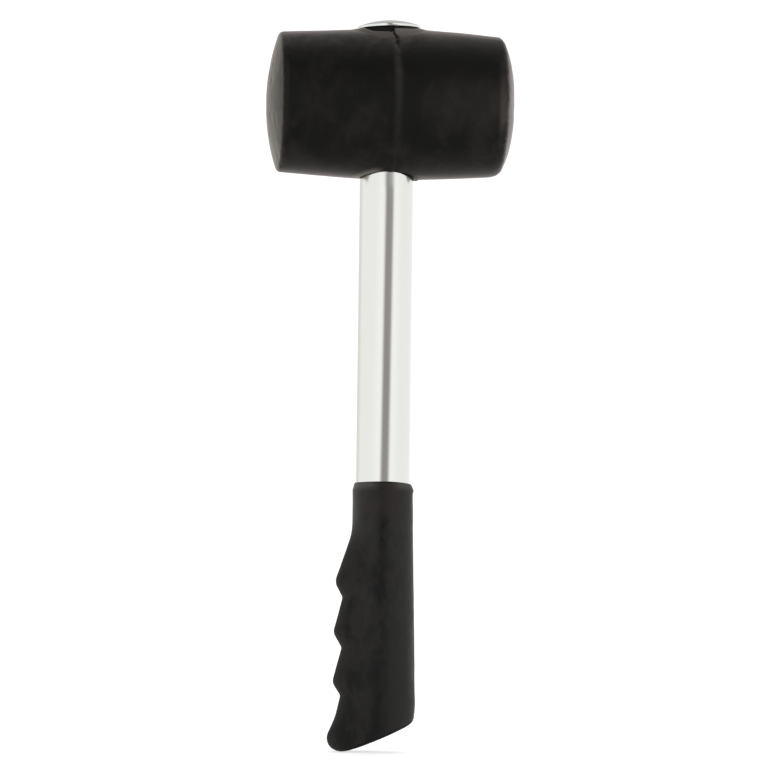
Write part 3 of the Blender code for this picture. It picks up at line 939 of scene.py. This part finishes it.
def dust_and_highlight_mask(head, scuff):
    """Where dust greys the head: faces, scuffed rims and odd specks; the lighter colour on the crown,
    rims, parting line and underside is partly painted highlight and painted light from below.
    """
    off_axis = abs(head.height)
    cleaner = off_axis.ramp(3 * MM, 20 * MM, 0.62, 1.0).at_least(head.x.ramp(-5 * MM, 5 * MM))
    dust = head.face * (0.12 + head.bloom) * cleaner

    # Crown and cap collar lighter: partly dust, partly a painted highlight from above and painted light
    # that lifts the cap's shade.
    crown = head.height.ramp(29 * MM, 35 * MM, 0.0, 0.85)
    top = head.collar.at_least(crown) * head.outside_cap
    # Underside band lighter: painted light from below.
    under = head.height.ramp(-34.8 * MM, -33.4 * MM, 0.8, 0.0)
    dust = dust + (top + under) + ridge_highlight_mask(head) * 0.60

    # Rim bands: dust, and a painted highlight along each rim.
    dust = dust + rim_dust_and_highlight_mask(head) * off_axis.ramp(8 * MM, 24 * MM, 0.55, 0.05) * head.smear
    dust = dust + head.plus_side * off_axis.ramp(3 * MM, 18 * MM, 0.12, 0.0)
    dust = dust + scuff * 0.30 + head.patch * 0.10

    # Upper head lighter: painted light from above, with uneven bloom.
    upper = head.bloom * head.height.ramp(20 * MM, 32 * MM, 0.0, 1.2) * (1.0 - head.plus_side * 0.9)
    dust = dust + upper * head.outside_cap
    return (dust + head.fine.ramp(0.62, 0.80) * 0.10).clamped()


def ridge_highlight_mask(head):
    """A painted highlight on the gentle side of the parting ridge, where it catches the light, fading
    towards the underside.
    """
    beside = abs(head.x - (HEAD_OFFSET_X + RIDGE_SHIFT + 1.5 * MM))
    # The lit flank of the ridge, painted lighter.
    rubbed = beside.ramp(0.3 * MM, 2.8 * MM, 1.0, 0.0) * head.height.ramp(-32 * MM, 2 * MM)
    rubbed = rubbed * head.smear.ramp(0.20, 0.50) * (0.1 + head.ragged * 0.9)
    return rubbed * head.height.ramp(-5 * MM, 18 * MM, 0.5, 1.0)


def rim_dust_and_highlight_mask(head):
    """The band of the barrel next to each rim, wider and stronger at the +X end: dust, and a painted
    highlight along the rim.
    """
    edge = head.from_middle + head.plus_side * (1.7 * MM)
    edge = edge.ramp(HEAD_RIM_X - 3.2 * MM, HEAD_RIM_X - 0.8 * MM) * (0.7 + head.plus_side * 0.5)
    return edge * head.from_middle.ramp(HEAD_RIM_X - 2.0 * MM, HEAD_RIM_X, 1.0, 0.15)


def tear_and_shade_mask(head):
    """The torn furrow beside the parting ridge, which stays black and free of dust: clean torn rubber and
    painted shade in the groove.
    """
    slant = head.height.ramp(28.7 * MM, 32.3 * MM, TEAR_SLANT[0], TEAR_SLANT[1])
    tear = (head.x - HEAD_OFFSET_X) - slant + (head.smear - 0.5) * (4 * MM)
    return abs(tear).ramp(0.5 * MM, 1.3 * MM, 1.0, 0.0) * head.height.ramp(23 * MM, 27 * MM)


def bare_and_highlight_mask(head, outside_tear_and_shade):
    """Where the skin is rubbed off, and where pale rubber stands in for light: round the cap, along the
    crown, on the +X face, at the mouth.
    """
    # Round the cap: squeezed pale rubber, partly a painted reflection that lifts the cap's shade.
    squeezed = head.x.ramp(-1.0 * MM, 2.0 * MM, 0.52, 1.0) * outside_tear_and_shade
    squeezed = (squeezed * (head.collar * head.outside_cap)).clamped()

    # Along the crown: wear and a painted highlight from above.
    from_crown = head.height + head.from_middle * BARREL_TAPER
    worn = head.outside_cap * from_crown.ramp(31.6 * MM, 35.4 * MM, 0.0, 0.84) * outside_tear_and_shade
    chalk = (head.face * head.plus_side) * (head.bloom * 0.80)

    # At the mouth: painted light from below on the underside next to the tube.
    left = head.x.ramp(-8 * MM, -2 * MM, 1.0, 0.0)
    mouth = left * head.from_tube_axis.ramp(13.5 * MM, 18.5 * MM, 0.8, 0.0)
    mouth = mouth * head.height.ramp(-30 * MM, -26 * MM, 1.0, 0.0)
    return squeezed.at_least(worn.at_least(chalk).at_least(mouth))


# Grip material ------------------------------------------------------------------------------------

GRIP_DARK = (0.0010, 0.0010, 0.0008, 1)
GRIP_PALE = (0.0112, 0.0103, 0.0094, 1)
GRIP_BROWN = (0.016, 0.008, 0.006, 1)
GRIP_LOW = (0.0016, 0.0013, 0.0011, 1)
GRIP_DUST = (0.019, 0.0175, 0.016, 1)
GRIP_SPECK = (0.040, 0.038, 0.035, 1)
GRIP_BUTT_SHADE = (0.003, 0.003, 0.003, 1)
GRIP_LIP_WEAR_AND_HIGHLIGHT = (0.068, 0.063, 0.058, 1)


def grip_rubber():
    """Mottled softer rubber, dusty on the finger side, with a pale lip that carries a painted highlight,
    and a painted shade line along the butt.
    """
    result, tree, shader = blank_material("grip_rubber")
    place = position(tree)
    x, _, z = axes(place)
    fine = noise(place, 1300.0, 3.0, 0.6)
    pores = Field(node(tree, "ShaderNodeTexVoronoi", Vector=place, Scale=1900.0).outputs["Distance"])
    cloud = noise(position(tree, (1.0, 1.0, 0.45)), 70.0, 5.0, 0.6, 0.5)
    blotch = noise(position(tree, (1.0, 1.0, 0.6)), 210.0, 4.0, 0.6, 0.3)
    cloud = cloud * 0.5 + blotch * 0.5
    mottle = cloud.ramp(0.42, 0.58)
    base = blend(mottle, GRIP_DARK, GRIP_PALE)
    base = blend(noise(place, 42.0, 3.0, 0.5).ramp(0.50, 0.72) * 0.6, base, GRIP_BROWN)
    base = blend(z.ramp(20 * MM, 85 * MM, 0.50, 0.0), base, GRIP_LOW)
    matt = x.ramp(-16 * MM, -5 * MM, 1.0, 0.0) * z.ramp(90 * MM, 112 * MM, 1.0, 0.0)
    base = blend(matt * (0.15 + mottle * 0.7), base, GRIP_DUST)
    base = blend(fine.ramp(0.64, 0.80) * 0.22, base, GRIP_SPECK)
    # A painted shade line along the butt's rounded lower edge, which faces down.
    above_butt = (z - x * BUTT_SLOPE) - BUTT_AXIS_Z
    line = above_butt.ramp(0.9 * MM, 2.2 * MM, 1.0, 0.0)
    base = blend(line, base, GRIP_BUTT_SHADE)
    feed(shader.inputs["Base Color"], blend(lip_wear_and_highlight_mask(x, z), base, GRIP_LIP_WEAR_AND_HIGHLIGHT))
    rough = 0.34 + mottle * 0.12 + matt * 0.38 + x.ramp(5 * MM, 12 * MM, 0.0, 0.10) + line * 0.2
    feed(shader.inputs["Roughness"], (rough + fine * 0.06).clamped())
    shader.inputs["Specular IOR Level"].default_value = 0.30
    skin = fine * 0.5 + pores * 0.5
    feed(shader.inputs["Normal"], bump(skin, 0.05 * MM, 0.6, bump(cloud, 0.3 * MM, 0.4)))
    return result


def lip_wear_and_highlight_mask(x, z):
    """The paler lip of the grip, strongest at its two sides: wear and a painted highlight."""
    aside = maths(x.tree, "DIVIDE", x, 14 * MM)
    aside = aside * aside
    lip = (z + aside * (0.7 * MM)).ramp(GRIP_TOP_Z - 4.6 * MM, GRIP_TOP_Z - 1.0 * MM)
    return lip * aside.ramp(0.0, 0.25, 0.10, 0.9)


# Other materials ----------------------------------------------------------------------------------

CHROME = (0.735, 0.742, 0.722)
SPECK_DARKENING = 0.8
BEECH_LIGHT = (0.44, 0.28, 0.15, 1)
BEECH_RING = (0.58, 0.41, 0.24, 1)
BEECH_PORE = (0.30, 0.18, 0.10, 1)
PLASTIC_DARK = (0.022, 0.022, 0.023, 1)
PLASTIC_PALE = (0.036, 0.036, 0.036, 1)


def chrome(name, blemish):
    """Chrome plate with lengthwise polishing lines, dull specks, and haze where it meets the head."""
    result, tree, shader = blank_material(name)
    place = position(tree)
    lines = noise(position(tree, (1.0, 1.0, 0.012)), 2600.0, 3.0, 0.6)
    haze = noise(position(tree, (1.0, 1.0, 0.4)), 60.0, 4.0, 0.6)
    speck = noise(place, 2400.0, 2.0, 0.5).ramp(0.70, 0.80)
    dull = tuple(SPECK_DARKENING * c for c in CHROME)
    feed(shader.inputs["Base Color"], blend(speck * blemish, (*CHROME, 1), (*dull, 1)))
    shader.inputs["Metallic"].default_value = 1.0
    below_head = (HEAD_AXIS_Z - HEAD_MID_RADIUS) - axes(place)[2]
    rubbing = abs(below_head).ramp(2.0 * MM, 6.0 * MM, 0.04, 0.0)
    rough = 0.045 + lines * 0.05 + haze * 0.05 + speck * (0.25 * blemish) + rubbing
    feed(shader.inputs["Roughness"], rough)
    feed(shader.inputs["Normal"], bump(lines, 0.0012 * MM, 0.5, bump(haze, 0.02 * MM, 0.5)))
    return result


def hardwood():
    """Raw turned beech: rings, pores along the grain and lathe marks."""
    result, tree, shader = blank_material("hardwood")
    along = position(tree, (1.0, 1.0, 0.08))
    rings = node(
        tree, "ShaderNodeTexWave", {"wave_type": "RINGS"}, Vector=along, Scale=130.0,
        Distortion=3.0, Detail=3.0, Detail_Scale=1.5,
    )
    pores = noise(along, 1600.0, 3.0, 0.6)
    turned = noise(position(tree, (0.02, 0.02, 1.0)), 1500.0, 2.0, 0.5)
    base = blend(Field(rings.outputs["Fac"]), BEECH_LIGHT, BEECH_RING)
    feed(shader.inputs["Base Color"], blend(pores.ramp(0.55, 0.75), base, BEECH_PORE))
    feed(shader.inputs["Roughness"], 0.55 + pores * 0.2)
    feed(shader.inputs["Normal"], bump(turned, 0.05 * MM, 0.5, bump(pores, 0.08 * MM, 0.6)))
    return result


def plug_plastic():
    """Black injection-moulded plastic with a fine spark-eroded texture."""
    result, tree, shader = blank_material("plug_plastic")
    place = position(tree)
    fine = noise(place, 1800.0, 2.0, 0.5)
    feed(shader.inputs["Base Color"], blend(noise(place, 90.0, 3.0, 0.5), PLASTIC_DARK, PLASTIC_PALE))
    feed(shader.inputs["Roughness"], 0.42 + fine * 0.18)
    feed(shader.inputs["Normal"], bump(fine, 0.04 * MM, 0.5))
    return result


# Studio -------------------------------------------------------------------------------------------

CAMERA_AZIMUTH = math.radians(6.0124)
CAMERA_ELEVATION = math.radians(-2.5)
CAMERA_ROLL = math.radians(-0.72)
CAMERA_DISTANCE = 1.85267
CAMERA_TARGET = Vector((0.0, 0.0, 0.1704))
CAMERA_LENS = 186.84


def camera():
    """A long lens at the height of the grip, looking slightly up, a little to the finger side."""
    level = math.cos(CAMERA_ELEVATION)
    back = Vector((
        -math.sin(CAMERA_AZIMUTH) * level, -math.cos(CAMERA_AZIMUTH) * level,
        math.sin(CAMERA_ELEVATION),
    ))
    right = (-back).cross(Vector((0, 0, 1))).normalized()
    up = back.cross(right)
    turn = Matrix.Rotation(-CAMERA_ROLL, 3, back)
    right, up = turn @ right, turn @ up
    data = bpy.data.cameras.new("camera")
    data.lens = CAMERA_LENS
    obj = bpy.data.objects.new("camera", data)
    bpy.context.scene.collection.objects.link(obj)
    place = CAMERA_TARGET + back * CAMERA_DISTANCE
    obj.matrix_world = Matrix((
        (right.x, up.x, back.x, place.x),
        (right.y, up.y, back.y, place.y),
        (right.z, up.z, back.z, place.z),
        (0, 0, 0, 1),
    ))
    bpy.context.scene.camera = obj


WORLD_LEVEL = 1.1
GAP_DEPTH = 0.67
GAP_EDGES = (math.radians(9), math.radians(24))
GAP_CENTRE = math.radians(6.0)
GAP_BEND = math.radians(3.6)
GAP_LEAN = (math.radians(-6.0), math.radians(2.2))
GAP_LEAN_RATE = 2.07
GAP_UPPER_SHIFT = math.radians(14)
GAP_UPPER_NARROWING = 0.6
GAP_UPPER_EDGE = (math.radians(7.0), math.radians(7.6))
SHOULDER = 0.07
SHOULDER_RISE = (math.radians(12), math.radians(28))
SHOULDER_FALL = (math.radians(32), math.radians(62))
ASTERN_EDGE = (math.radians(-150), math.radians(-116))
# (start and end elevation in degrees, level at the far end)
FRONT_CEILING = (10, 45, 0.07)
BACK_CEILING = (7, 20, 0.53)
FRONT_FLOOR = (-35, -6, 0.24)
BACK_FLOOR = (-60, -15, 0.4)
ASTERN_DIMMING = 0.2
WHITE = (1.0, 1.0, 1.0, 1.0)
STUDIO_TINT = (1.0, 1.0, 0.99, 1.0)
ASTERN_TINT = (0.985, 1.0, 0.94, 1.0)
GAP_TINT = (1.0, 0.925, 0.925, 1.0)


def studio_world():
    """A white studio: bright at the horizon, dimmer overhead, with a dark gap between the lights."""
    world = bpy.data.worlds.new("studio")
    world.use_nodes = True
    bpy.context.scene.world = world
    tree = world.node_tree
    background = tree.nodes["Background"]
    x, y, z = axes(Field(node(tree, "ShaderNodeTexCoord").outputs["Generated"]))
    toward = y * -1.0
    azimuth = maths(tree, "ARCTAN2", x, toward)
    elevation = maths(tree, "ARCSINE", z)

    lean = (elevation - GAP_BEND).at_most(GAP_LEAN[1]).at_least(GAP_LEAN[0])
    upper = elevation.ramp(*GAP_UPPER_EDGE)
    centre = GAP_CENTRE + lean * GAP_LEAN_RATE - upper * GAP_UPPER_SHIFT
    away = abs(azimuth - centre) * (1.0 + upper * GAP_UPPER_NARROWING)
    gap = away.ramp(*GAP_EDGES, GAP_DEPTH, 0.0)
    shoulder = away.ramp(*SHOULDER_RISE) * away.ramp(*SHOULDER_FALL, SHOULDER, 0.0)
    astern = azimuth.ramp(*ASTERN_EDGE, 1.0, 0.0)

    front = toward.ramp(-0.1, 0.7)
    above = zone(elevation, front, BACK_CEILING, FRONT_CEILING)
    below = zone(elevation, front, BACK_FLOOR, FRONT_FLOOR)
    level = above * below * (1.0 - gap) * (1.0 + shoulder) * (1.0 - astern * ASTERN_DIMMING)
    seen = Field(node(tree, "ShaderNodeLightPath").outputs["Is Camera Ray"])
    feed(background.inputs["Strength"], level.at_least(seen) * WORLD_LEVEL)
    tint = blend(gap, blend(astern, STUDIO_TINT, ASTERN_TINT), GAP_TINT)
    feed(background.inputs["Color"], blend(seen, tint, WHITE))


def zone(elevation, front, behind, before):
    """Dimming above or below the horizon, as (start, end, level at the far end) behind and before."""
    levels = []
    for start, end, level in (behind, before):
        out = (level, 1.0) if start < 0 else (1.0, level)
        levels.append(elevation.ramp(math.radians(start), math.radians(end), *out))
    mix = node(
        elevation.tree, "ShaderNodeMix", {"data_type": "FLOAT"}, _0=front, _2=levels[0], _3=levels[1],
    )
    return Field(mix.outputs[0])


def softbox(name, azimuth, elevation, spread, power):
    """A wide, far lamp. Azimuth 0 is behind the camera's side, towards -Y, and grows towards +X."""
    data = bpy.data.lights.new(name, "SUN")
    data.angle = math.radians(spread)
    data.energy = power
    obj = bpy.data.objects.new(name, data)
    turn, rise = math.radians(azimuth), math.radians(elevation)
    place = Vector((
        math.sin(turn) * math.cos(rise), -math.cos(turn) * math.cos(rise), math.sin(rise),
    ))
    obj.location = place * 2
    obj.rotation_euler = place.to_track_quat("Z", "Y").to_euler()
    obj.visible_glossy = False
    bpy.context.scene.collection.objects.link(obj)
    return obj


FLOOR_HALF = 14.0
FLOOR_COLOUR = (0.86, 0.86, 0.85, 1)
FLOOR_GLOW = 0.62


def floor():
    """A plain pale studio floor, which reflections don't see."""
    result, _, shader = blank_material("studio_floor")
    shader.inputs["Base Color"].default_value = FLOOR_COLOUR
    shader.inputs["Roughness"].default_value = 0.9
    shader.inputs["Specular IOR Level"].default_value = 0.1
    shader.inputs["Emission Color"].default_value = WHITE
    shader.inputs["Emission Strength"].default_value = FLOOR_GLOW
    mesh = bpy.data.meshes.new("studio_floor")
    corners = [(FLOOR_HALF * x, FLOOR_HALF * y, 0) for x, y in ((-1, -1), (1, -1), (1, 1), (-1, 1))]
    mesh.from_pydata(corners, [], [(0, 1, 2, 3)])
    mesh.materials.append(result)
    obj = bpy.data.objects.new("studio_floor", mesh)
    obj.visible_glossy = False
    bpy.context.scene.collection.objects.link(obj)


def repaint(name, finish):
    """Give a CAD node that stays in place its material."""
    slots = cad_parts[name].data.materials
    slots.clear()
    slots.append(finish)


def build():
    """Make every piece, the studio and the camera."""
    finished(rubber_head(head_rubber()), "rubber_head")
    finished(handle_tube(chrome("chromed_steel", 0.3)), "handle_tube")
    finished(top_cap(chrome("chromed_cap", 0.7)), "top_cap")
    finished(grip_sleeve(grip_rubber()), "grip_sleeve")
    repaint("core_dowel", hardwood())
    repaint("tube_end_plug", plug_plastic())
    floor()
    softbox("back_softbox", azimuth=170, elevation=48, spread=50, power=0.7)
    studio_world()
    bpy.context.scene.view_settings.view_transform = "Standard"
    camera()


build()
